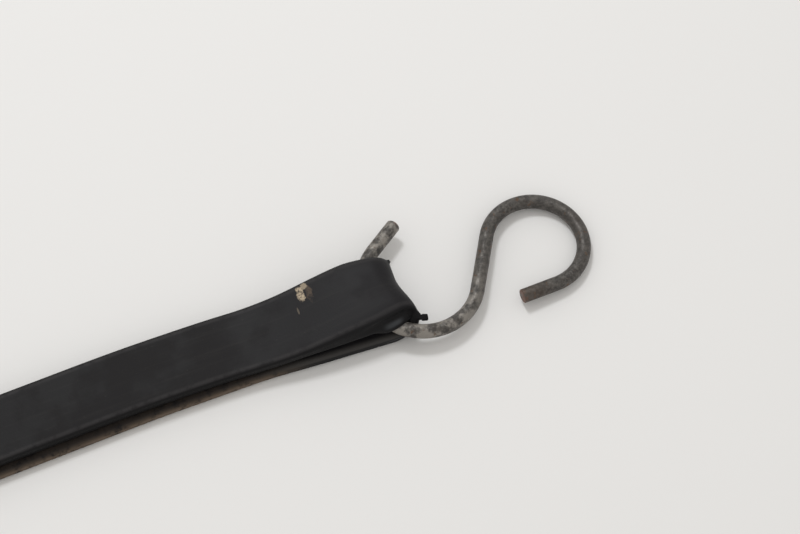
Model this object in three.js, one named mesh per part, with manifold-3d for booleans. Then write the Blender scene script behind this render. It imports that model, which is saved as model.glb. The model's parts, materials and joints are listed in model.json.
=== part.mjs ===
// Rubber tie-down strap: an endless flat rubber band lying doubled, with a round-wire
// S-hook in the fold (the bight) at each end.
//
// Frame, millimetres: +X runs along the strap to the near hook, +Z is up, and the origin is
// on the band's underside at mid-length. The strap lies flat in a long gentle curve.
// The band is one moulding. It is parted here where it bends and where it stretches, so that
// each stretch of it can be a rigid body of its own.

import * as THREE from "three";
import { mergeVertices } from "three/addons/utils/BufferGeometryUtils.js";
import Module from "manifold-3d";

const wasm = await Module();
wasm.setup();

// ---- driving dimensions, mm and degrees ----
const WIRE_DIAMETER = 6;
const OPEN_BOWL_RADIUS = 20.6; // wire centreline, the end that hooks on to things
const STRAP_BOWL_RADIUS = 23.8; // wire centreline, the end that holds the band
const LEG_LENGTH = 26.6; // straight wire between the two bowls
const OPEN_BOWL_SWEEP = 236.3;
const STRAP_BOWL_SWEEP = 204.2;
const OPEN_TIP = 14.2; // straight wire past each bowl
const STRAP_TIP = 16;

const BAND_WIDTH = 28;
const BAND_THICKNESS = 5;
const BAND_GAP = 0.3; // air between the two layers where they lie together
const EDGE_ROUND = 1.2;
const HALF_LOOP = 160; // mid-length to the outside of the fold
const BIGHT_HEIGHT = 17.6; // over the fold, where the wire holds the layers apart
const LIFT_START = 88; // where the upper layer starts to rise, from mid-length
const RUN_STEP = 8; // length of one flat facet along the band

const PLAN_RADIUS = 1600; // the strap's gentle curve on the floor
const SHAPING_START = 105; // where the fold's own skew, flare and hollow begin
const FOLD_SKEW = 8.5;
const FOLD_FLARE = 0.02;
const FOLD_HOLLOW = 1.0; // how far the middle of the fold is drawn in

const HOOK_AHEAD = 9.0; // strap bowl's centre, ahead of the fold and to its left
const HOOK_ASIDE = 3.25;
const HOOK_TILT = 3.45; // the open bowl is on the floor, the strap bowl on the lower layer
const HOOK_TURN = 4; // from the end's own heading to the open bowl

const BEND_AT = 80; // the bend joint's axis, from mid-length
const BEND_RADIUS = 11; // the round parting surface at that joint
const STRETCH_AT = -25; // the parting that opens when the band stretches
const PARTING_GAP = 0.3;

// ---- materials ----
const rubber = new THREE.MeshStandardMaterial({ color: 0x2c2c2f, roughness: 0.62, metalness: 0 });
const wire = new THREE.MeshStandardMaterial({ color: 0x5e5a54, roughness: 0.5, metalness: 0.8 });

const radians = THREE.MathUtils.degToRad;
const smooth = THREE.MathUtils.smoothstep;

// ---- joining and cutting ----
function solid(geometry) {
  const bare = geometry.index ? geometry.toNonIndexed() : geometry.clone();
  bare.deleteAttribute("normal");
  bare.deleteAttribute("uv");
  const merged = mergeVertices(bare, 1e-4);
  return new wasm.Manifold(new wasm.Mesh({
    numProp: 3,
    vertProperties: merged.attributes.position.array,
    triVerts: new Uint32Array(merged.index.array),
  }));
}

function geometryOf(manifold) {
  const mesh = manifold.getMesh();
  const geometry = new THREE.BufferGeometry();
  geometry.setAttribute("position", new THREE.BufferAttribute(mesh.vertProperties, 3));
  geometry.setIndex(new THREE.BufferAttribute(mesh.triVerts, 1));
  geometry.computeVertexNormals();
  return geometry;
}

// ---- the band ----
// Height of the upper layer's underside above the floor, s mm along from mid-length.
function upperUnderside(s) {
  const resting = BAND_THICKNESS + BAND_GAP;
  const raised = BIGHT_HEIGHT - BAND_THICKNESS;
  return resting + (raised - resting) * smooth(s, LIFT_START, foldCentre());
}

function foldCentre() {
  return HALF_LOOP - BIGHT_HEIGHT / 2;
}

// Side view of half the loop, from s = start round the fold and back: a long hairpin.
function hairpin(start) {
  const shape = new THREE.Shape();
  const centre = foldCentre();
  const middle = BIGHT_HEIGHT / 2;
  const steps = Math.ceil((centre - start) / RUN_STEP);
  const station = (i) => start + (centre - start) * i / steps;
  const outward = Array.from({ length: steps + 1 }, (_, i) => station(i));
  const homeward = outward.toReversed();
  shape.moveTo(start, 0);
  for (const s of outward.slice(1)) shape.lineTo(s, 0);
  shape.absarc(centre, middle, middle, -Math.PI / 2, Math.PI / 2, false);
  for (const s of homeward.slice(1)) shape.lineTo(s, upperUnderside(s) + BAND_THICKNESS);
  for (const s of outward) shape.lineTo(s, upperUnderside(s));
  shape.absarc(centre, middle, middle - BAND_THICKNESS, Math.PI / 2, -Math.PI / 2, true);
  for (const s of homeward.slice(1)) shape.lineTo(s, BAND_THICKNESS);
  shape.closePath();
  return shape;
}

// A point s mm along, v mm across and z mm up, laid on the strap's curve in plan.
function layOnCurve(s, v, z) {
  const shaping = smooth(s, SHAPING_START, foldCentre());
  const across = v * (1 + FOLD_FLARE * shaping);
  const hollow = FOLD_HOLLOW * (1 - (2 * v / BAND_WIDTH) ** 2);
  const along = s - shaping * (v * Math.tan(radians(FOLD_SKEW)) + hollow);
  const turn = along / PLAN_RADIUS;
  const reach = PLAN_RADIUS + across;
  return new THREE.Vector3(reach * Math.sin(turn), reach * Math.cos(turn) - PLAN_RADIUS, z);
}

function bandHalf(start) {
  const geometry = new THREE.ExtrudeGeometry(hairpin(start), {
    depth: BAND_WIDTH - 2 * EDGE_ROUND,
    steps: 4,
    curveSegments: 12,
    bevelEnabled: true,
    bevelThickness: EDGE_ROUND,
    bevelSize: EDGE_ROUND,
    bevelOffset: -EDGE_ROUND,
    bevelSegments: 2,
  });
  const position = geometry.attributes.position;
  const middle = BAND_WIDTH / 2 - EDGE_ROUND;
  for (let i = 0; i < position.count; i++) {
    const v = middle - position.getZ(i);
    const point = layOnCurve(position.getX(i), v, position.getY(i));
    position.setXYZ(i, point.x, point.y, point.z);
  }
  return solid(geometry);
}

// The bend joint's axis is across the band, half-way up the two layers.
function bendCylinder(radius) {
  const turn = BEND_AT / PLAN_RADIUS;
  const cylinder = new THREE.CylinderGeometry(radius, radius, 2 * BAND_WIDTH, 64);
  cylinder.rotateZ(-turn);
  const middle = layOnCurve(BEND_AT, 0, BAND_THICKNESS + BAND_GAP / 2);
  cylinder.translate(middle.x, middle.y, middle.z);
  return solid(cylinder);
}

function slab(fromX, toX, fromZ, toZ) {
  const box = new THREE.BoxGeometry(toX - fromX, 4 * BAND_WIDTH, toZ - fromZ);
  box.translate((fromX + toX) / 2, 0, (fromZ + toZ) / 2);
  return solid(box);
}

// One half of the band: the bight past the bend, and the two runs before it.
function bandPieces(start) {
  const half = bandHalf(start);
  const bendX = layOnCurve(BEND_AT, 0, 0).x;
  const far = 2 * HALF_LOOP;
  const high = 2 * BIGHT_HEIGHT;
  const between = BAND_THICKNESS + BAND_GAP / 2;
  const bight = half.intersect(slab(bendX, far, -high, high).subtract(bendCylinder(BEND_RADIUS)));
  const run = slab(-far, bendX, -high, high).add(bendCylinder(BEND_RADIUS - PARTING_GAP));
  const runs = half.intersect(run);
  return {
    bight: geometryOf(bight),
    upper: geometryOf(runs.intersect(slab(-far, far, between, high))),
    lower: geometryOf(runs.intersect(slab(-far, far, -high, between))),
  };
}

// ---- the hook ----
// The wire's centreline in the hook's own plane: the strap bowl's centre is the origin, the
// open bowl's centre is on +X, and the straight leg crosses between them.
class HookLine extends THREE.Curve {
  constructor() {
    super();
    const bothRadii = OPEN_BOWL_RADIUS + STRAP_BOWL_RADIUS;
    this.centres = Math.hypot(bothRadii, LEG_LENGTH);
    this.lean = Math.asin(bothRadii / this.centres);
    this.lengths = [
      STRAP_TIP, STRAP_BOWL_RADIUS * radians(STRAP_BOWL_SWEEP), LEG_LENGTH,
      OPEN_BOWL_RADIUS * radians(OPEN_BOWL_SWEEP), OPEN_TIP,
    ];
    this.total = this.lengths.reduce((sum, length) => sum + length);
  }

  // A point on a bowl, d mm round from where the leg joins it, and straight on past the sweep.
  onBowl(centreX, radius, sweep, startAngle, sense, d) {
    const turned = Math.min(d / radius, radians(sweep));
    const beyond = d - turned * radius;
    const angle = startAngle + sense * turned;
    const ahead = angle + sense * Math.PI / 2;
    return new THREE.Vector3(
      centreX + radius * Math.cos(angle) + beyond * Math.cos(ahead),
      radius * Math.sin(angle) + beyond * Math.sin(ahead),
      0,
    );
  }

  getPoint(t, target = new THREE.Vector3()) {
    const strapSide = this.lengths[0] + this.lengths[1];
    const d = t * this.total - strapSide;
    const strapStart = this.lean - Math.PI / 2;
    if (d <= 0) {
      return target.copy(
        this.onBowl(0, STRAP_BOWL_RADIUS, STRAP_BOWL_SWEEP, strapStart, -1, -d));
    }
    if (d >= LEG_LENGTH) {
      return target.copy(this.onBowl(
        this.centres, OPEN_BOWL_RADIUS, OPEN_BOWL_SWEEP, strapStart + Math.PI, -1,
        d - LEG_LENGTH));
    }
    const foot = this.onBowl(0, STRAP_BOWL_RADIUS, STRAP_BOWL_SWEEP, strapStart, -1, 0);
    const ahead = new THREE.Vector3(Math.cos(this.lean), Math.sin(this.lean), 0);
    return target.copy(foot).addScaledVector(ahead, d);
  }
}

function hookGeometry() {
  const section = new THREE.Shape().absarc(0, 0, WIRE_DIAMETER / 2, 0, 2 * Math.PI, false);
  return new THREE.ExtrudeGeometry(section, {
    curveSegments: 6,
    steps: 80,
    bevelEnabled: false,
    extrudePath: new HookLine(),
  });
}

// The hook's own plane, set in the fold: tilted so that the open bowl reaches the floor.
function hookSeat() {
  const line = new HookLine();
  const heading = -HALF_LOOP / PLAN_RADIUS;
  const fold = layOnCurve(HALF_LOOP, 0, 0);
  const tilt = radians(HOOK_TILT);
  const lowest = line.centres + OPEN_BOWL_RADIUS;
  const group = new THREE.Group();
  group.position.set(
    fold.x + HOOK_AHEAD * Math.cos(heading) - HOOK_ASIDE * Math.sin(heading),
    fold.y + HOOK_AHEAD * Math.sin(heading) + HOOK_ASIDE * Math.cos(heading),
    WIRE_DIAMETER / 2 + lowest * Math.sin(tilt),
  );
  group.rotation.set(0, tilt, heading + radians(HOOK_TURN), "ZYX");
  return group;
}

// ---- the assembly ----
function named(name, geometry, material) {
  const mesh = new THREE.Mesh(geometry, material);
  mesh.name = name;
  return mesh;
}

// One end of the strap, from the stretch parting outwards, built towards +X.
function strapEnd(side, start) {
  const end = new THREE.Group();
  const band = bandPieces(start);
  const seat = hookSeat();
  seat.add(named(`s_hook_${side}`, hookGeometry(), wire));
  end.add(named(`upper_run_${side}`, band.upper, rubber));
  end.add(named(`lower_run_${side}`, band.lower, rubber));
  end.add(named(`bight_${side}`, band.bight, rubber));
  end.add(seat);
  return end;
}

const strap = new THREE.Group();
strap.add(strapEnd("near", STRETCH_AT + PARTING_GAP / 2));

const farEnd = strapEnd("far", -STRETCH_AT + PARTING_GAP / 2);
farEnd.scale.x = -1;
strap.add(farEnd);

export default strap;
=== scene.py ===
# %% [markdown]
# # A rubber tie-down strap with S-hooks
#
# The object is an endless flat band of black rubber that lies doubled, with a hook of round
# wire in the fold at each end. The CAD model holds the sizes and the joints. This script
# dresses it: it builds the band and the hooks as fine meshes in the same frame, gives them
# their weathered finishes, and sets up a floor, a light and a camera.

# %% Load the frame
import json
import math

import bmesh
import bpy
from mathutils import Matrix, Vector


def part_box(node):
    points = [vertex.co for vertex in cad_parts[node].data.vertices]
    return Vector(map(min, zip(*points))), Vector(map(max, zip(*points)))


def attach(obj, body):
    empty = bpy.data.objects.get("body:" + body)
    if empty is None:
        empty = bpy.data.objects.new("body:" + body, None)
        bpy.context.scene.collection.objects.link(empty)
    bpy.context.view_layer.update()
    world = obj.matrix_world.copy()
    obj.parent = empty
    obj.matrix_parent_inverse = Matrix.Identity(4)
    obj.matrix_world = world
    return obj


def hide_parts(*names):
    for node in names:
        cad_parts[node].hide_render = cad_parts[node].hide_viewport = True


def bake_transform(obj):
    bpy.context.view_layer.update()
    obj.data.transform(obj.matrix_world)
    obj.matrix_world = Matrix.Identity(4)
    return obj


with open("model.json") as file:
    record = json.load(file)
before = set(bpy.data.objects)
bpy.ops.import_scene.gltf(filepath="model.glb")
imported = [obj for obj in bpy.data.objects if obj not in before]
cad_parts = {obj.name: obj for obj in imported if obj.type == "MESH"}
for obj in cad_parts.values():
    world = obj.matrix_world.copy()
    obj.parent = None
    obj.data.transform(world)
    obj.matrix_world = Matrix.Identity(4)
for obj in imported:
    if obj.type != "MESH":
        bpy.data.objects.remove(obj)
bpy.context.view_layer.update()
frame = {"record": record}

MM = 0.001

# %% [markdown]
# ## Where things are
#
# The record holds each joint's place and axis. The near hook turns about the centre of the
# bowl that holds the band, so that joint gives the hook's centre, and the joint's axis is
# square to the hook's plane. The bend joint says where the band may bend. Reading
# them here, instead of typing them again, keeps the fine pieces in step with the model.
# The band's and the wire's own dimensions are given below in millimetres.

# %% Joints by name
joints = {joint["name"]: joint for joint in frame["record"]["behaviour"]["joints"]}
hook_centre = Vector(joints["near_hook_turn"]["pos_m"])
hook_normal = Vector(joints["near_hook_turn"]["axis"]).normalized()
print("near hook turns about", [round(x, 4) for x in hook_centre])

# %% The band's dimensions, in millimetres
BAND_WIDTH = 28.5
BAND_THICKNESS = 5.0
BAND_GAP = 0.3
EDGE_ROUND = 1.6
HALF_LOOP = 160.0
BIGHT_HEIGHT = 17.6
LIFT_START = 88.0
PLAN_RADIUS = 1600.0
SHAPING_START = 105.0
FOLD_FLARE = 0.06
FOLD_SKEW = 2.3
SEAM = 48.0
FOLD_CENTRE = HALF_LOOP - BIGHT_HEIGHT / 2
SINK = BIGHT_HEIGHT - 2 * BAND_THICKNESS - BAND_GAP
print("band", BAND_WIDTH, "x", BAND_THICKNESS, "mm, fold to fold", 2 * HALF_LOOP, "mm")


# %% [markdown]
# ## The rubber band
#
# The real band is one moulding. Here it is four meshes, because a mesh can bend or stretch
# over one joint only: a long hairpin at each end, and an upper and a lower run between them.
# They meet where the band is nearly straight and never bends, and they have the same section
# there, so no join shows.
#
# A hairpin could be a curve with a bevel object, or a plane with a Solidify modifier. It is
# extruded here instead, because one face that is extruded, spun half a turn round the fold and
# extruded back leaves even rows of faces, and those are easy to shape afterwards.
# The section is a rectangle whose four corners are rounded first, so that the long edges
# come out rounded all the way along.

# %% Small helpers
def smooth(x, low, high):
    """0 below low, 1 above high, and an even rise between them."""
    t = min(max((x - low) / (high - low), 0.0), 1.0)
    return t * t * (3 - 2 * t)


def bump(x, centre, reach):
    """1 at the centre, falling smoothly to 0 at the reach on each side."""
    return 1 - smooth(abs(x - centre), 0, reach)


def only(kind, geom):
    """The items of one kind, such as faces, out of an operator's result."""
    return [item for item in geom if isinstance(item, kind)]


def with_edges(faces):
    """The faces with their edges: an extrusion then takes the old faces away."""
    return list(faces) + list(dict.fromkeys(edge for face in faces for edge in face.edges))


def advance(bm, faces, step):
    """Extrudes the leading faces by one step, and returns the new leading faces."""
    ahead = bmesh.ops.extrude_face_region(bm, geom=with_edges(faces))["geom"]
    bmesh.ops.translate(bm, vec=step, verts=only(bmesh.types.BMVert, ahead))
    return only(bmesh.types.BMFace, ahead)


def advance_by(bm, faces, direction, length, pitch):
    """Extrudes by a whole length, in equal steps no longer than the pitch."""
    steps = math.ceil(length / pitch)
    for _ in range(steps):
        faces = advance(bm, faces, direction * (length / steps))
    return faces


# %% The section that everything is extruded from
CUTS_ACROSS = 18
CUTS_THROUGH = 3
CORNER_STEPS = 5
PITCH = 1.5
TINY = 1e-4
FORWARD = Vector((1, 0, 0))
STAND_UP = Matrix(((0, 0, 1), (1, 0, 0), (0, 1, 0)))


def band_section(bm, s, z):
    """The band's section as one face that looks along +X, s along and centred z up."""
    bmesh.ops.create_grid(bm, x_segments=1, y_segments=1, size=0.5)
    bmesh.ops.scale(bm, vec=(BAND_WIDTH, BAND_THICKNESS, 1), verts=bm.verts)
    bmesh.ops.bevel(bm, geom=list(bm.verts), offset=EDGE_ROUND, offset_type="OFFSET",
                    segments=CORNER_STEPS, profile=0.5, affect="VERTICES", material=-1)
    flats = [edge for edge in bm.edges if edge.calc_length() > BAND_WIDTH / 2]
    sides = [edge for edge in bm.edges
             if abs(edge.calc_length() - BAND_THICKNESS + 2 * EDGE_ROUND) < TINY]
    bmesh.ops.subdivide_edges(bm, edges=flats, cuts=CUTS_ACROSS)
    bmesh.ops.subdivide_edges(bm, edges=sides, cuts=CUTS_THROUGH)
    bmesh.ops.transform(bm, matrix=STAND_UP.to_4x4(), verts=bm.verts)
    bmesh.ops.translate(bm, vec=(s, 0, z), verts=bm.verts)
    return list(bm.faces)


# %% The plain hairpin
FOLD_STEPS = 28


def plain_hairpin():
    """Along the lower layer, half a turn round the fold, and back along the upper one."""
    bm = bmesh.new()
    ahead = band_section(bm, SEAM, BAND_THICKNESS / 2)
    run = FOLD_CENTRE - SEAM
    ahead = advance_by(bm, ahead, FORWARD, run, PITCH)
    spun = bmesh.ops.spin(bm, geom=with_edges(ahead), cent=(FOLD_CENTRE, 0, BIGHT_HEIGHT / 2),
                          axis=(0, -1, 0), angle=math.pi, steps=FOLD_STEPS, use_merge=False)
    ahead = only(bmesh.types.BMFace, spun["geom_last"])
    advance_by(bm, ahead, -FORWARD, run, PITCH)
    bmesh.ops.remove_doubles(bm, verts=bm.verts, dist=TINY)
    bmesh.ops.recalc_face_normals(bm, faces=bm.faces)
    return bm


# %% [markdown]
# ## The shape of the folded rubber
#
# A real band is not a plain hairpin. Its upper layer sinks on to the lower one away from the
# fold, the two lie a little apart sideways, the fold leans and is hollow across, and at the
# front its inner edge bulges out in a lip over the wire. Sculpting could do this by hand, but
# then nothing would say why the shape is as it is. So one rule moves every vertex. It speaks of
# s along the band from its middle, v across it to the left, and z up, all in millimetres.

# %% Places in the band
def depth_in_band(s, z):
    """0 on the band's outer face and 1 on its inner face, before shaping."""
    middle = BIGHT_HEIGHT / 2
    if s <= FOLD_CENTRE:
        outward = abs(z - middle)
    else:
        outward = math.hypot(s - FOLD_CENTRE, z - middle)
    return (middle - outward) / BAND_THICKNESS


def lay_on_curve(s, v, z):
    """The whole band lies on a wide, gentle curve."""
    turn = s / PLAN_RADIUS
    reach = PLAN_RADIUS + v
    return Vector((reach * math.sin(turn), reach * math.cos(turn) - PLAN_RADIUS, z))


# %% How the two layers wander sideways, in millimetres
UPPER_LINE = -0.95
UPPER_AT_MIDDLE = -0.5
UPPER_BEFORE_FOLD = -0.4
UPPER_AT_FOLD = 3.3
LOWER_LINE = -4.4
LOWER_TOWARDS_FOLD = 1.6
LOWER_DIP = -0.3
DIP_REACH = 30


def upper_drift(s):
    """How far the upper layer lies to the left of the band's own line."""
    at_middle = UPPER_AT_MIDDLE * (1 - smooth(s, 0, 50))
    before_fold = UPPER_BEFORE_FOLD * bump(s, 105, DIP_REACH)
    at_fold = UPPER_AT_FOLD * smooth(s, SHAPING_START, HALF_LOOP)
    return UPPER_LINE + at_middle + before_fold + at_fold


def lower_drift(s):
    """The lower layer lies to the right: the loop is a little twisted."""
    towards_fold = LOWER_TOWARDS_FOLD * smooth(s, 0, 100)
    return LOWER_LINE + towards_fold + LOWER_DIP * bump(s, 75, DIP_REACH)


apart = upper_drift(0) - lower_drift(0)
print("in the middle the layers lie", round(apart, 1), "mm apart sideways")

# %% The fold's own numbers
# Lengths are in millimetres. A pair is where something starts and where it is full.
FLARE_FULL = 125
OUTER_DRAWN_IN = 0.19
INNER_SHARE = 0.45
ROLL_DROP = 0.8
ROLL_WIDTH = 7.0
LIP_REACH = 3.1
LIP_ALONG = (106, 142)
LIP_HEIGHTS = (9.2, 12.2)
LIP_ACROSS = (5, BAND_WIDTH / 2)
LIP_AT_WIRE = 2.4
WIRE_COVER_START = (140, 149)
WIRE_COVER_END = (150, 157)
LIP_DROOP = 1.2
DROOP_ALONG = (108, 146)
LIP_CURL = 2.4
CURL_PLACE = 144.5
CURL_LENGTH = 6.5
CURL_ACROSS = (13, 16)
GROOVE = 1.9
GROOVE_PLACE = 148
GROOVE_LENGTH = 15
GROOVE_DEPTH = 0.42
GROOVE_SPREAD = 0.3
SKEW_ACROSS = (-6, 12)


# %% The parts of the rule
def sunk_height(s, v, z):
    """Lowers the upper layer on to the lower one, and rolls its edges down near the fold."""
    upper = smooth(z, 0.3 * BIGHT_HEIGHT, 0.7 * BIGHT_HEIGHT)
    if z > BIGHT_HEIGHT / 2:
        z -= SINK * (1 - smooth(s, LIFT_START, FOLD_CENTRE))
    roll = max(0.0, (abs(v) - BAND_WIDTH / 2 + ROLL_WIDTH) / ROLL_WIDTH)
    return z - ROLL_DROP * roll * roll * smooth(s, SHAPING_START, FOLD_CENTRE) * upper


def width_factor(s, layer, depth):
    """The band spreads towards the fold, and its outer face is drawn in round the fold."""
    flare = FOLD_FLARE * smooth(s, LIFT_START, FLARE_FULL)
    round_fold = smooth(s, FOLD_CENTRE - 4 - 10 * layer, HALF_LOOP)
    return 1 + flare - OUTER_DRAWN_IN * round_fold * (1 - INNER_SHARE * depth)


def lip_reach(s):
    """How far the front inner edge stands out, most of all where the wire leaves the fold."""
    over_wire = LIP_AT_WIRE * smooth(s, *WIRE_COVER_START) * (1 - smooth(s, *WIRE_COVER_END))
    return LIP_REACH * smooth(s, *LIP_ALONG) + over_wire


def lip_fall(s, v):
    """How far the lip hangs down, with a curl just short of the wire."""
    curl = LIP_CURL * bump(s, CURL_PLACE, CURL_LENGTH) * smooth(-v, *CURL_ACROSS)
    return LIP_DROOP * smooth(s, *DROOP_ALONG) + curl


# %% The rule itself
def shaped(point):
    """Moves a point of the plain hairpin to its place in the real one."""
    s, v, z = point
    depth = depth_in_band(s, z)
    layer = smooth(z, BAND_THICKNESS, BIGHT_HEIGHT - BAND_THICKNESS)
    drift = lower_drift(s) + (upper_drift(s) - lower_drift(s)) * layer
    front = smooth(z, *LIP_HEIGHTS) * smooth(-v, *LIP_ACROSS)
    hollow = bump(depth, GROOVE_DEPTH, GROOVE_SPREAD) * bump(s, GROOVE_PLACE, GROOVE_LENGTH)
    groove = GROOVE * front * hollow
    lip = front * depth
    z = sunk_height(s, v, z)
    v = v * width_factor(s, layer, depth) + drift - lip_reach(s) * lip + groove
    z -= lip * lip_fall(s, v)
    skew = FOLD_SKEW * (1 - 2 * smooth(-v, *SKEW_ACROSS))
    s -= smooth(s, SHAPING_START, FOLD_CENTRE) * skew
    return lay_on_curve(s, v, z)


fold_middle = shaped((HALF_LOOP, 0, BIGHT_HEIGHT / 2))
print("the middle of the fold lands at", [round(c, 1) for c in fold_middle], "mm")


# %% Noting places, then shaping
def note_band_place(bm, sunk=0.0):
    """Keeps each vertex's place along, across and into the band for the finish to use.

    Along is positive towards the near hook. Sunk is how far a run already lies below
    the height that its layer has in the plain hairpin.
    """
    layer = bm.verts.layers.float_vector.new("band_place")
    for vert in bm.verts:
        s, v, z = vert.co
        inward = BAND_THICKNESS * depth_in_band(abs(s), z + sunk)
        vert[layer] = Vector((s, v, inward)) * MM


def shape_all(bm):
    """Notes every place while the hairpin is still plain, and then shapes it."""
    note_band_place(bm)
    for vert in bm.verts:
        vert.co = shaped(vert.co)


# %% Turning a bmesh into a finished piece
def piece_from(bm, name, mirrored=False):
    """Writes the bmesh, in millimetres, as an object whose place is in its mesh."""
    bmesh.ops.scale(bm, vec=(-MM if mirrored else MM, MM, MM), verts=bm.verts)
    place = bm.verts.layers.float_vector.get("band_place")
    if mirrored:
        bmesh.ops.reverse_faces(bm, faces=bm.faces)
        for vert in bm.verts if place else ():
            vert[place].x *= -1
    mesh = bpy.data.meshes.new(name)
    bm.to_mesh(mesh)
    bm.free()
    piece = bpy.data.objects.new(name, mesh)
    bpy.context.scene.collection.objects.link(piece)
    for polygon in mesh.polygons:
        polygon.use_smooth = True
    return piece


def sharpen_ends(piece, angle=50):
    """Keeps the cut ends crisp, so that two pieces that meet shade as one."""
    bpy.context.view_layer.objects.active = piece
    piece.data.set_sharp_from_angle(angle=math.radians(angle))


# %% [markdown]
# ### Scraps of moulding flash
#
# Where the halves of a mould meet, a little rubber squeezes out and tears off unevenly. Here a
# small tab is left on the fold's front corner and a nib at its back. They could be separate
# lumps, but flash is part of the moulding, so a few of the band's own faces are drawn out and
# narrowed, and the surface stays whole.

# %% Drawing flash out of the fold
def grow_flash(bm, root, reach, steps):
    """Draws the faces around the root out, in steps of (ahead, aside, change of size)."""
    middle = lay_on_curve(*root)
    faces = [face for face in bm.faces if (face.calc_center_median() - middle).length < reach]
    for ahead, aside, size in steps:
        step = lay_on_curve(root[0] + ahead, root[1] + aside, root[2]) - middle
        faces = advance(bm, faces, step)
        verts = list(dict.fromkeys(vert for face in faces for vert in face.verts))
        centre = sum((vert.co for vert in verts), Vector()) / len(verts)
        bmesh.ops.scale(bm, vec=(size, size, size), verts=verts,
                        space=Matrix.Translation(-centre))
    return len(faces)


FRONT_FLASH = ((0.9, -0.5, 0.62), (0.8, -0.6, 0.6), (0.3, -0.2, 1.5), (1.9, -0.5, 0.95))
FRONT_FLASH_ROOT = (161.6, -12.4, 8.2)
FRONT_FLASH_REACH = 2.2
BACK_FLASH = ((0.5, 0.2, 0.6), (0.4, 0.1, 0.9))
BACK_FLASH_ROOT = (157.0, 13.6, 11.0)
BACK_FLASH_REACH = 1.0


# %% Both hairpins
def make_hairpin(name, mirrored):
    bm = plain_hairpin()
    shape_all(bm)
    front = grow_flash(bm, FRONT_FLASH_ROOT, FRONT_FLASH_REACH, FRONT_FLASH)
    back = grow_flash(bm, BACK_FLASH_ROOT, BACK_FLASH_REACH, BACK_FLASH)
    print(name, "has flash drawn from", front, "and", back, "faces")
    piece = piece_from(bm, name, mirrored)
    sharpen_ends(piece)
    return piece


band_near = make_hairpin("band_end_near", mirrored=False)
band_far = make_hairpin("band_end_far", mirrored=True)
print("near hairpin:", len(band_near.data.polygons), "faces")


# %% [markdown]
# ### The runs between the hairpins
#
# The real band stretches in the middle. Here two straight runs fill it. They are the same
# rounded section, extruded once, and they take the same sideways drift as the hairpins, so
# that the ends meet edge to edge.

# %% The two runs
def make_run(name, z, sunk, drift):
    """A straight length centred z up, moved sideways by the drift of its layer."""
    bm = bmesh.new()
    ahead = band_section(bm, -SEAM, z)
    advance_by(bm, ahead, FORWARD, 2 * SEAM, PITCH)
    bmesh.ops.recalc_face_normals(bm, faces=bm.faces)
    note_band_place(bm, sunk)
    for vert in bm.verts:
        s, v, height = vert.co
        vert.co = lay_on_curve(s, v + drift(abs(s)), height)
    piece = piece_from(bm, name)
    sharpen_ends(piece)
    return piece


run_lower = make_run("band_run_lower", BAND_THICKNESS / 2, 0.0, lower_drift)
run_upper = make_run("band_run_upper", BAND_THICKNESS * 1.5 + BAND_GAP, SINK, upper_drift)
print("each run:", len(run_upper.data.polygons), "faces,", 2 * SEAM, "mm long")

# %% [markdown]
# ## The S-hooks
#
# Each hook is one length of round wire with a straight leg between two bowls: one holds the
# band, and the other is left open. A bevelled curve would do, but a disc that is extruded and
# spun gives true round bends and even faces. It starts at the middle of the leg and is
# drawn both ways in the hook's own flat plane. The finished wire is then set in the plane that
# the CAD joint's axis describes.

# %% The wire's dimensions, in millimetres and degrees
WIRE_RADIUS = 3.0
OPEN_BOWL = 20.6
STRAP_BOWL = 23.8
LEG = 26.6
OPEN_SWEEP = 236.3
STRAP_SWEEP = 204.2
OPEN_TIP = 16.0
STRAP_TIP = 16.0
OPEN_CUT_ROUND = 0.4
STRAP_CUT_ROUND = 1.3
WIRE_SIDES = 32
WIRE_PITCH = 1.2
BEND_STEP = 2.6
CENTRES = math.hypot(OPEN_BOWL + STRAP_BOWL, LEG)
LEAN = math.asin((OPEN_BOWL + STRAP_BOWL) / CENTRES)
print("bowl centres", round(CENTRES, 1), "mm apart")


# %% Bending the wire
def bend_wire(bm, faces, heading, centre, sweep, tip):
    """From the middle of the leg: down the leg, round one bowl and on to the cut end."""
    forward = Vector((math.cos(heading), math.sin(heading), 0))
    faces = advance_by(bm, faces, forward, LEG / 2, WIRE_PITCH)
    spun = bmesh.ops.spin(bm, geom=with_edges(faces), cent=centre, axis=(0, 0, 1), use_merge=False,
                          angle=-math.radians(sweep), steps=round(sweep / BEND_STEP))
    faces = only(bmesh.types.BMFace, spun["geom_last"])
    last_heading = heading - math.radians(sweep)
    direction = Vector((math.cos(last_heading), math.sin(last_heading), 0))
    return advance_by(bm, faces, direction, tip, WIRE_PITCH)


def note_hook_place(bm, tips):
    """Keeps each vertex's place in the flat hook and its distance from the nearest cut end."""
    flat = bm.verts.layers.float_vector.new("hook_place")
    to_tip = bm.verts.layers.float.new("to_tip")
    for vert in bm.verts:
        vert[flat] = vert.co * MM
        vert[to_tip] = min((vert.co - tip).length for tip in tips) * MM


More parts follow.
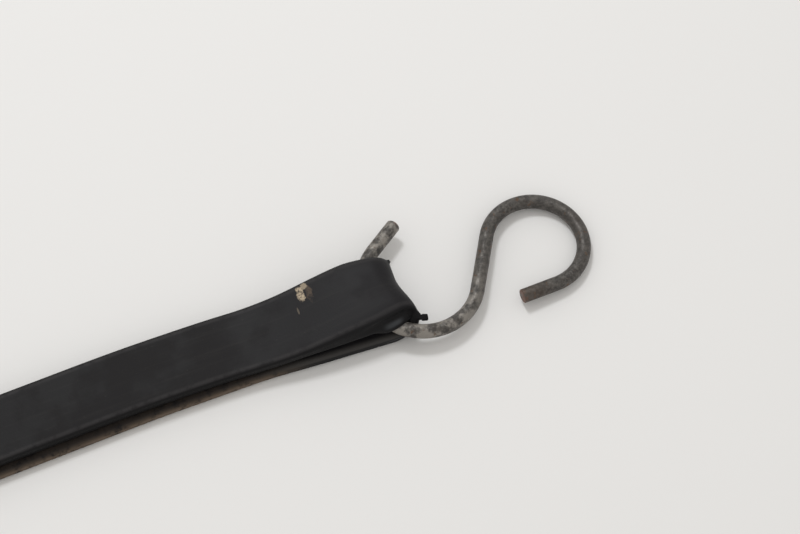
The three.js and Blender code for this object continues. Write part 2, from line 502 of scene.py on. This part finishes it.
# %% The whole wire, flat
def bent_hook():
    """The hook in its flat plane, with the strap bowl's centre at the origin."""
    bm = bmesh.new()
    foot = Vector((STRAP_BOWL * math.sin(LEAN), -STRAP_BOWL * math.cos(LEAN), 0))
    forward = Vector((math.cos(LEAN), math.sin(LEAN), 0))
    made = bmesh.ops.create_circle(bm, cap_ends=True, segments=WIRE_SIDES, radius=WIRE_RADIUS)
    turn = Vector((0, 0, 1)).rotation_difference(forward).to_matrix()
    bmesh.ops.rotate(bm, cent=(0, 0, 0), matrix=turn, verts=made["verts"])
    bmesh.ops.translate(bm, vec=foot + forward * (LEG / 2), verts=made["verts"])
    disc = list(bm.faces)
    open_end = bend_wire(bm, disc, LEAN, (CENTRES, 0, 0), OPEN_SWEEP, OPEN_TIP)
    strap_end = bend_wire(bm, disc, LEAN + math.pi, (0, 0, 0), STRAP_SWEEP, STRAP_TIP)
    tips = [face.calc_center_median() for face in open_end + strap_end]
    for end, cut_round in ((open_end, OPEN_CUT_ROUND), (strap_end, STRAP_CUT_ROUND)):
        rim = [edge for face in end for edge in face.edges]
        bmesh.ops.bevel(bm, geom=rim, offset=cut_round, offset_type="OFFSET",
                        segments=4, profile=0.5, affect="EDGES", material=-1)
    bmesh.ops.recalc_face_normals(bm, faces=bm.faces)
    note_hook_place(bm, tips)
    return bm


# %% Setting the wire in the band
def seat_matrix():
    """The matrix, in millimetres, that carries the hook's flat plane to its seat."""
    azimuth = math.atan2(hook_normal.y, hook_normal.x)
    lean = math.hypot(hook_normal.x, hook_normal.y)
    towards_open = Vector((math.cos(azimuth) * hook_normal.z,
                           math.sin(azimuth) * hook_normal.z, -lean))
    across = hook_normal.cross(towards_open)
    turn = Matrix((towards_open, across, hook_normal)).transposed().to_4x4()
    return Matrix.Translation(hook_centre / MM) @ turn


def make_hook(name, mirrored):
    bm = bent_hook()
    bmesh.ops.transform(bm, matrix=seat_matrix(), verts=bm.verts)
    piece = piece_from(bm, name, mirrored)
    sharpen_ends(piece, angle=35)
    return piece


hook_near = make_hook("hook_wire_near", mirrored=False)
hook_far = make_hook("hook_wire_far", mirrored=True)
for name, piece in (("s_hook_near", hook_near), ("s_hook_far", hook_far)):
    low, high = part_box(name)
    print(name, "CAD", [round(v, 4) for v in (*low, *high)],
          "wire", [round(v, 4) for v in (*piece.bound_box[0], *piece.bound_box[6])])

# %% [markdown]
# ## Camera, floor and light
#
# The camera looks down at about 62 degrees from a little over three quarters of a metre,
# with a long lens. It is aimed just beyond the fold, so the near hook is near the
# middle of the picture and the band runs out of it at the left.
#
# The floor is a plain, pale, matt sheet. A bright, even world does most of the lighting, and
# one soft lamp beyond and above the object gives it a shadow. A row of lamps would give a
# livelier shine, but black rubber this dull shows its shape by soft shading.

# %% Camera
VIEW_AZIMUTH = math.radians(-23.25)
VIEW_ELEVATION = math.radians(62.0)
VIEW_DISTANCE = 0.825
LENS = 88.5
SENSOR_WIDTH = 36
NEAREST = 0.01
AIM_FROM_HOOK = Vector((-0.00391, 0.01268, 0))

aim = Vector((hook_centre.x, hook_centre.y, 0)) + AIM_FROM_HOOK
inward = Vector((-math.sin(VIEW_AZIMUTH), math.cos(VIEW_AZIMUTH), 0))
look = inward * math.cos(VIEW_ELEVATION) - Vector((0, 0, math.sin(VIEW_ELEVATION)))
camera = bpy.data.objects.new("camera", bpy.data.cameras.new("camera"))
bpy.context.scene.collection.objects.link(camera)
camera.data.lens = LENS
camera.data.sensor_width = SENSOR_WIDTH
camera.data.clip_start = NEAREST
camera.location = aim - look * VIEW_DISTANCE
camera.rotation_euler = look.to_track_quat("-Z", "Y").to_euler()
bpy.context.scene.camera = camera
print("camera at", [round(v, 3) for v in camera.location])

# %% Floor
FLOOR_REACH = 3.0
FLOOR_COLOUR = (0.79, 0.785, 0.78, 1)
FLOOR_ROUGHNESS = 0.7

bm = bmesh.new()
bmesh.ops.create_grid(bm, x_segments=1, y_segments=1, size=FLOOR_REACH)
floor_mesh = bpy.data.meshes.new("floor")
bm.to_mesh(floor_mesh)
bm.free()
floor = bpy.data.objects.new("floor", floor_mesh)
bpy.context.scene.collection.objects.link(floor)
floor_paint = bpy.data.materials.new("floor_pale")
floor_paint.use_nodes = True
shader = floor_paint.node_tree.nodes["Principled BSDF"]
shader.inputs["Base Color"].default_value = FLOOR_COLOUR
shader.inputs["Roughness"].default_value = FLOOR_ROUGHNESS
floor.data.materials.append(floor_paint)
print("floor", 2 * FLOOR_REACH, "m across")


# %% Light
KEY_OFFSET = (-0.30, 0.60, 1.25)
KEY_SIZE = 0.26
KEY_POWER = 6.2
KEY_COLOUR = (0.97, 0.985, 1.0)
WORLD_COLOUR = (1.0, 0.98, 0.945, 1)
WORLD_STRENGTH = 0.74


def area_light(name, offset, size, power, colour):
    """A square lamp, offset to the right of the aim, beyond it and above it, in metres."""
    lamp = bpy.data.lights.new(name, "AREA")
    lamp.size = size
    lamp.energy = power
    lamp.color = colour
    item = bpy.data.objects.new(name, lamp)
    bpy.context.scene.collection.objects.link(item)
    side = inward.cross(Vector((0, 0, 1)))
    item.location = aim + side * offset[0] + inward * offset[1] + Vector((0, 0, offset[2]))
    item.rotation_euler = (aim - item.location).to_track_quat("-Z", "Y").to_euler()
    return item


key = area_light("key", KEY_OFFSET, KEY_SIZE, KEY_POWER, KEY_COLOUR)
print("key lamp at", [round(v, 3) for v in key.location])
world = bpy.data.worlds.new("studio")
bpy.context.scene.world = world
world.use_nodes = True
background = world.node_tree.nodes["Background"].inputs
background["Color"].default_value = WORLD_COLOUR
background["Strength"].default_value = WORLD_STRENGTH
bpy.context.scene.view_settings.view_transform = "Standard"


# %% [markdown]
# ## Finishes
#
# Both finishes are built from nodes, with no image files, so they hold at any distance. Each
# starts from a plain colour and lays marks over it one at a time, every mark with a mask of its
# own. A few helpers keep each of those steps to one line.

# %% Node helpers
def add(tree, kind, inputs=None, **settings):
    """Adds a node; each input is given a value, or a socket to be linked to."""
    item = tree.nodes.new(kind)
    for key, value in settings.items():
        setattr(item, key, value)
    for key, value in (inputs or {}).items():
        if isinstance(value, bpy.types.NodeSocket):
            tree.links.new(value, item.inputs[key])
        else:
            item.inputs[key].default_value = value
    return item


def ramp(tree, value, low, high, smallest=0.0, largest=1.0):
    """Rises smoothly from smallest to largest as the value goes from low to high."""
    return add(tree, "ShaderNodeMapRange", {0: value, 1: low, 2: high, 3: smallest, 4: largest},
               interpolation_type="SMOOTHSTEP").outputs[0]


def ramp_mm(tree, value, low, high):
    """The same ramp for a length, with its ends given in millimetres."""
    return ramp(tree, value, low * MM, high * MM)


def times(tree, *values):
    """Several masks multiplied together."""
    result = values[0]
    for value in values[1:]:
        product = add(tree, "ShaderNodeMath", {0: result, 1: value}, operation="MULTIPLY")
        result = product.outputs[0]
    return result


def mixed(tree, factor, base, top):
    """Lays the top colour over the base colour, as strongly as the factor says."""
    colours = {0: factor, 6: base, 7: top}
    return add(tree, "ShaderNodeMix", colours, data_type="RGBA").outputs[2]


def attribute(tree, name, output):
    """Reads what a mesh carries on its vertices under this name."""
    return add(tree, "ShaderNodeAttribute", attribute_name=name).outputs[output]


# %% [markdown]
# ### Marks that are used again and again
#
# Patches of wear, rust, grain and the brown foot are all one effect: noise with everything
# below one level cut away. A smear is another: a round area whose edge is made ragged with noise.
# Each is a node group, built once and placed wherever a finish needs it.

# %% A node group with one mask coming out
def new_group(name, inputs, output):
    tree = bpy.data.node_groups.new(name, "ShaderNodeTree")
    for label, kind in inputs:
        tree.interface.new_socket(name=label, in_out="INPUT", socket_type=kind)
    tree.interface.new_socket(name=output, in_out="OUTPUT", socket_type="NodeSocketFloat")
    return tree, tree.nodes.new("NodeGroupInput").outputs, tree.nodes.new("NodeGroupOutput")


# %% The patchy group
def build_patchy():
    tree, given, out = new_group("patchy", (
        ("Vector", "NodeSocketVector"), ("Scale", "NodeSocketFloat"),
        ("Low", "NodeSocketFloat"), ("High", "NodeSocketFloat")), "Mask")
    settings = {"Vector": given["Vector"], "Scale": given["Scale"], "Detail": 5.0, "Roughness": 0.6}
    noise = add(tree, "ShaderNodeTexNoise", settings).outputs[0]
    tree.links.new(ramp(tree, noise, given["Low"], given["High"]), out.inputs[0])
    return tree


# %% The blotch group
def build_blotch():
    tree, given, out = new_group("blotch", (
        ("Vector", "NodeSocketVector"), ("Centre", "NodeSocketVector"),
        ("Radii", "NodeSocketVector"), ("Ragged", "NodeSocketFloat")), "Mask")
    away = add(tree, "ShaderNodeVectorMath", {0: given["Vector"], 1: given["Centre"]},
               operation="SUBTRACT").outputs[0]
    scaled = add(tree, "ShaderNodeVectorMath", {0: away, 1: given["Radii"]},
                 operation="DIVIDE").outputs[0]
    distance = add(tree, "ShaderNodeVectorMath", {0: scaled}, operation="LENGTH").outputs["Value"]
    settings = {"Vector": given["Vector"], "Scale": 520.0, "Detail": 6.0, "Roughness": 0.7}
    noise = add(tree, "ShaderNodeTexNoise", settings).outputs[0]
    wobble = add(tree, "ShaderNodeMath", {0: noise, 1: 0.5}, operation="SUBTRACT").outputs[0]
    uneven = add(tree, "ShaderNodeMath", {0: wobble, 1: given["Ragged"], 2: distance},
                 operation="MULTIPLY_ADD").outputs[0]
    tree.links.new(ramp(tree, uneven, 1.15, 0.80), out.inputs[0])
    return tree


patchy = build_patchy()
blotch = build_blotch()
print("node groups:", patchy.name, "and", blotch.name)


# %% Placing the groups in a finish
SMEAR_THROUGH = 1.2


def patches(tree, vector, scale, low, high):
    """Noise of a scale per metre, cut away below low and full above high."""
    item = add(tree, "ShaderNodeGroup", node_tree=patchy)
    tree.links.new(vector, item.inputs["Vector"])
    for label, value in (("Scale", scale), ("Low", low), ("High", high)):
        item.inputs[label].default_value = value
    return item.outputs["Mask"]


def smear(tree, place, centre, radii, ragged):
    """A ragged mark with its centre and radii in millimetres, on the band's outer face."""
    item = add(tree, "ShaderNodeGroup", node_tree=blotch)
    tree.links.new(place, item.inputs["Vector"])
    item.inputs["Centre"].default_value = [c * MM for c in (*centre, 0)]
    item.inputs["Radii"].default_value = [r * MM for r in (*radii, SMEAR_THROUGH)]
    item.inputs["Ragged"].default_value = ragged
    return item.outputs["Mask"]


def stretched(tree, vector, factors):
    """Scales a place by a factor for each axis, which draws a pattern out into streaks."""
    return add(tree, "ShaderNodeVectorMath", {0: vector, 1: factors},
               operation="MULTIPLY").outputs[0]


def new_material(name):
    """A material, its node tree, its shader's inputs and the Object coordinates."""
    material = bpy.data.materials.new(name)
    material.use_nodes = True
    tree = material.node_tree
    place = add(tree, "ShaderNodeTexCoord").outputs["Object"]
    return material, tree, tree.nodes["Principled BSDF"].inputs, place


def bump_from(tree, height, distance, strength):
    return add(tree, "ShaderNodeBump", {"Height": height, "Distance": distance,
                                        "Strength": strength}).outputs[0]


# %% [markdown]
# ### Black rubber
#
# Old tie-down rubber is nearly black, a little greyer towards the fold, and faintly streaked
# along its length. Its rims carry a painted highlight and its sides a painted shade, the
# lower layer turns brown towards the floor, and something cream has dried near the
# fold. A plain black would look like a hole, so each of these is a light
# layer over it.
#
# Marks that belong to a part of the band read the place in the band that every vertex
# carries, so they stay with the rubber when it bends. Places along it are negative on the far
# side. The greyer fold, the painted highlight on the lip and the smear are therefore on the
# near end only, and on the far end the brown foot runs right up to the fold.
# Clouds, specks, the brown foot and the painted light on the lower rim go by Object
# coordinates as well, which is simpler. The price is that the brown foot depends on height:
# an end that is bent down turns brown where it is low.

# %% Rubber: the black itself
rubber, tree, shader, place = new_material("black_rubber")
band = attribute(tree, "band_place", "Vector")
along, across, into = add(tree, "ShaderNodeSeparateXYZ", {0: band}).outputs
height = add(tree, "ShaderNodeSeparateXYZ", {0: place}).outputs[2]
aside = add(tree, "ShaderNodeMath", {0: across}, operation="ABSOLUTE").outputs[0]

clouds = patches(tree, place, 42.0, 0.38, 0.68)
streaks = patches(tree, stretched(tree, band, (18.0, 420.0, 60.0)), 1.0, 0.50, 0.72)
specks = patches(tree, place, 900.0, 0.66, 0.72)
# Greyer and a little bluer towards the near fold.
towards_fold = ramp_mm(tree, along, 50, 150)
colour = mixed(tree, clouds, (0.0062, 0.0058, 0.0066, 1), (0.0100, 0.0090, 0.0098, 1))
colour = mixed(tree, times(tree, towards_fold, 0.50), colour, (0.0170, 0.0162, 0.0185, 1))
colour = mixed(tree, times(tree, streaks, 0.22), colour, (0.026, 0.024, 0.023, 1))
colour = mixed(tree, times(tree, specks, 0.25), colour, (0.050, 0.046, 0.042, 1))

# %% Rubber: painted shade on the sides, painted highlights on the rims
on_side = ramp_mm(tree, aside, 13.2, 14.0)
rim = times(tree, ramp_mm(tree, aside, 11.2, 12.4), ramp_mm(tree, aside, 13.8, 13.0),
            ramp_mm(tree, into, 2.2, 0.8), patches(tree, place, 260.0, 0.25, 0.55))
# Painted light on the lower layer's top edge near the fold, where the lip above shades it.
painted_light_lower_rim = times(tree, ramp_mm(tree, aside, 11.2, 12.8), ramp_mm(tree, into, 3.4, 4.6),
                  ramp_mm(tree, height, 7.5, 6.0), ramp_mm(tree, along, 85, 115))
# Painted highlight: a thin light line along the bulging lip of the fold.
painted_lip_highlight = times(tree, on_side,
                   ramp_mm(tree, into, 2.6, 3.1), ramp_mm(tree, into, 3.8, 3.2),
                   ramp_mm(tree, along, 143, 147), ramp_mm(tree, along, 153.5, 150))
# Painted shade: the band's sides are darkened because the light falls from above and behind.
colour = mixed(tree, times(tree, on_side, 0.75), colour, (0.0030, 0.0030, 0.0034, 1))
# Painted highlight: the rounded long edges are lightened where they catch the light, broken up by
# noise.
colour = mixed(tree, times(tree, rim, 0.55), colour, (0.034, 0.032, 0.033, 1))
colour = mixed(tree, times(tree, painted_light_lower_rim, 0.8), colour, (0.050, 0.047, 0.045, 1))
colour = mixed(tree, times(tree, painted_lip_highlight, 0.6), colour, (0.058, 0.062, 0.067, 1))

# %% Rubber: brown towards the floor at the foot
near_floor = ramp_mm(tree, height, 5.7, 3.0)
away_from_fold = ramp_mm(tree, along, 118, 85)
brown_foot = times(tree, near_floor, patches(tree, place, 240.0, 0.26, 0.55), away_from_fold)
colour = mixed(tree, times(tree, brown_foot, 0.9), colour, (0.125, 0.092, 0.066, 1))

# %% Rubber: the dried smear
CREAM = (0.46, 0.375, 0.270, 1)
BROWN = (0.085, 0.062, 0.045, 1)
brown = smear(tree, band, (122.5, 8.2), (1.5, 3.3), 3.0)
cream = smear(tree, band, (118.8, 9.6), (1.7, 3.4), 2.0)
arch = smear(tree, band, (121.0, 11.9), (1.6, 1.5), 2.6)
drop = smear(tree, band, (115.4, 3.2), (0.35, 1.6), 1.6)
brown = times(tree, brown, patches(tree, place, 400.0, 0.30, 0.65))
cream = times(tree, cream, patches(tree, band, 900.0, 0.34, 0.56))
colour = mixed(tree, brown, colour, BROWN)
for mark, strength in ((arch, 0.6), (cream, 0.95), (drop, 0.18)):
    colour = mixed(tree, times(tree, mark, strength), colour, CREAM)
tree.links.new(colour, shader["Base Color"])

# %% Rubber: how it shines
grain = add(tree, "ShaderNodeTexNoise", {"Vector": place, "Scale": 1500.0, "Detail": 6.0})
tree.links.new(ramp(tree, clouds, 0.0, 1.0, 0.50, 0.62), shader["Roughness"])
tree.links.new(bump_from(tree, grain.outputs[0], 0.00012, 0.35), shader["Normal"])
shader["Specular IOR Level"].default_value = 0.16
print("black_rubber:", len(tree.nodes), "nodes")

# %% [markdown]
# ### Weathered zinc
#
# Such wire is usually zinc-coated steel. This one is dull and mottled, darker towards the
# far side of the open bowl, with paler worn patches in the bowl that holds the band, spots of
# rust, and rust on the cut ends. One even grey would look new, so colour, shine and
# metal all vary. Where the wear lies depends on the place in the flat hook and the distance
# to a cut end, which every vertex carries, so both hooks are worn in the same places.

# %% Zinc: masks
zinc, tree, shader, place = new_material("weathered_zinc")
flat = attribute(tree, "hook_place", "Vector")
to_tip = attribute(tree, "to_tip", "Fac")
out_along = add(tree, "ShaderNodeSeparateXYZ", {0: flat}).outputs[0]

mottle = patches(tree, place, 520.0, 0.36, 0.64)
speckle = patches(tree, place, 1600.0, 0.54, 0.66)
stains = patches(tree, place, 150.0, 0.55, 0.66)
rust = patches(tree, place, 310.0, 0.60, 0.67)
worn = times(tree, ramp_mm(tree, out_along, 34, 4), patches(tree, place, 210.0, 0.42, 0.56))
dark_bowl = ramp_mm(tree, out_along, 58, 76)
near_tip = times(tree, ramp_mm(tree, to_tip, 16, 2), ramp_mm(tree, out_along, 20, 40))
at_tip = ramp_mm(tree, to_tip, 3.6, 2.6)
tip_rust = times(tree, at_tip, patches(tree, place, 420.0, 0.36, 0.66))

# %% Zinc: colours laid over one another
colour = mixed(tree, mottle, (0.048, 0.044, 0.041, 1), (0.100, 0.092, 0.084, 1))
colour = mixed(tree, times(tree, speckle, 0.35), colour, (0.190, 0.178, 0.160, 1))
colour = mixed(tree, times(tree, worn, 0.9), colour, (0.265, 0.245, 0.220, 1))
colour = mixed(tree, times(tree, stains, 0.6), colour, (0.050, 0.042, 0.036, 1))
colour = mixed(tree, times(tree, dark_bowl, 0.4), colour, (0.066, 0.058, 0.052, 1))
colour = mixed(tree, times(tree, near_tip, 0.5), colour, (0.075, 0.052, 0.038, 1))
colour = mixed(tree, times(tree, rust, 0.7), colour, (0.100, 0.050, 0.024, 1))
colour = mixed(tree, tip_rust, colour, (0.135, 0.050, 0.022, 1))
tree.links.new(colour, shader["Base Color"])

# %% Zinc: how it shines
pits = add(tree, "ShaderNodeTexNoise", {"Vector": place, "Scale": 900.0, "Detail": 6.0})
tree.links.new(ramp(tree, at_tip, 0.0, 1.0, 0.45, 0.0), shader["Metallic"])
tree.links.new(ramp(tree, mottle, 0.0, 1.0, 0.56, 0.42), shader["Roughness"])
tree.links.new(bump_from(tree, pits.outputs[0], 0.0003, 0.6), shader["Normal"])
print("weathered_zinc:", len(tree.nodes), "nodes")

# %% Putting the finishes on
for piece in (band_near, band_far, run_lower, run_upper):
    piece.data.materials.append(rubber)
    print(piece.name, "wears", rubber.name)
for piece in (hook_near, hook_far):
    piece.data.materials.append(zinc)
    print(piece.name, "wears", zinc.name)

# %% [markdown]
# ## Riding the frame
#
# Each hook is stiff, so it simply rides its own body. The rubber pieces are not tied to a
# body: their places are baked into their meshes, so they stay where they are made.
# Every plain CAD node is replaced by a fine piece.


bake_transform(band_near)
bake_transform(band_far)
for run in (run_lower, run_upper):
    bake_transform(run)
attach(hook_near, "near_hook")
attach(hook_far, "far_hook")
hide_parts("bight_near")
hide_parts("bight_far")
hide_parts("lower_run_near", "lower_run_far")
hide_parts("upper_run_near", "upper_run_far")
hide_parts("s_hook_near")
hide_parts("s_hook_far")
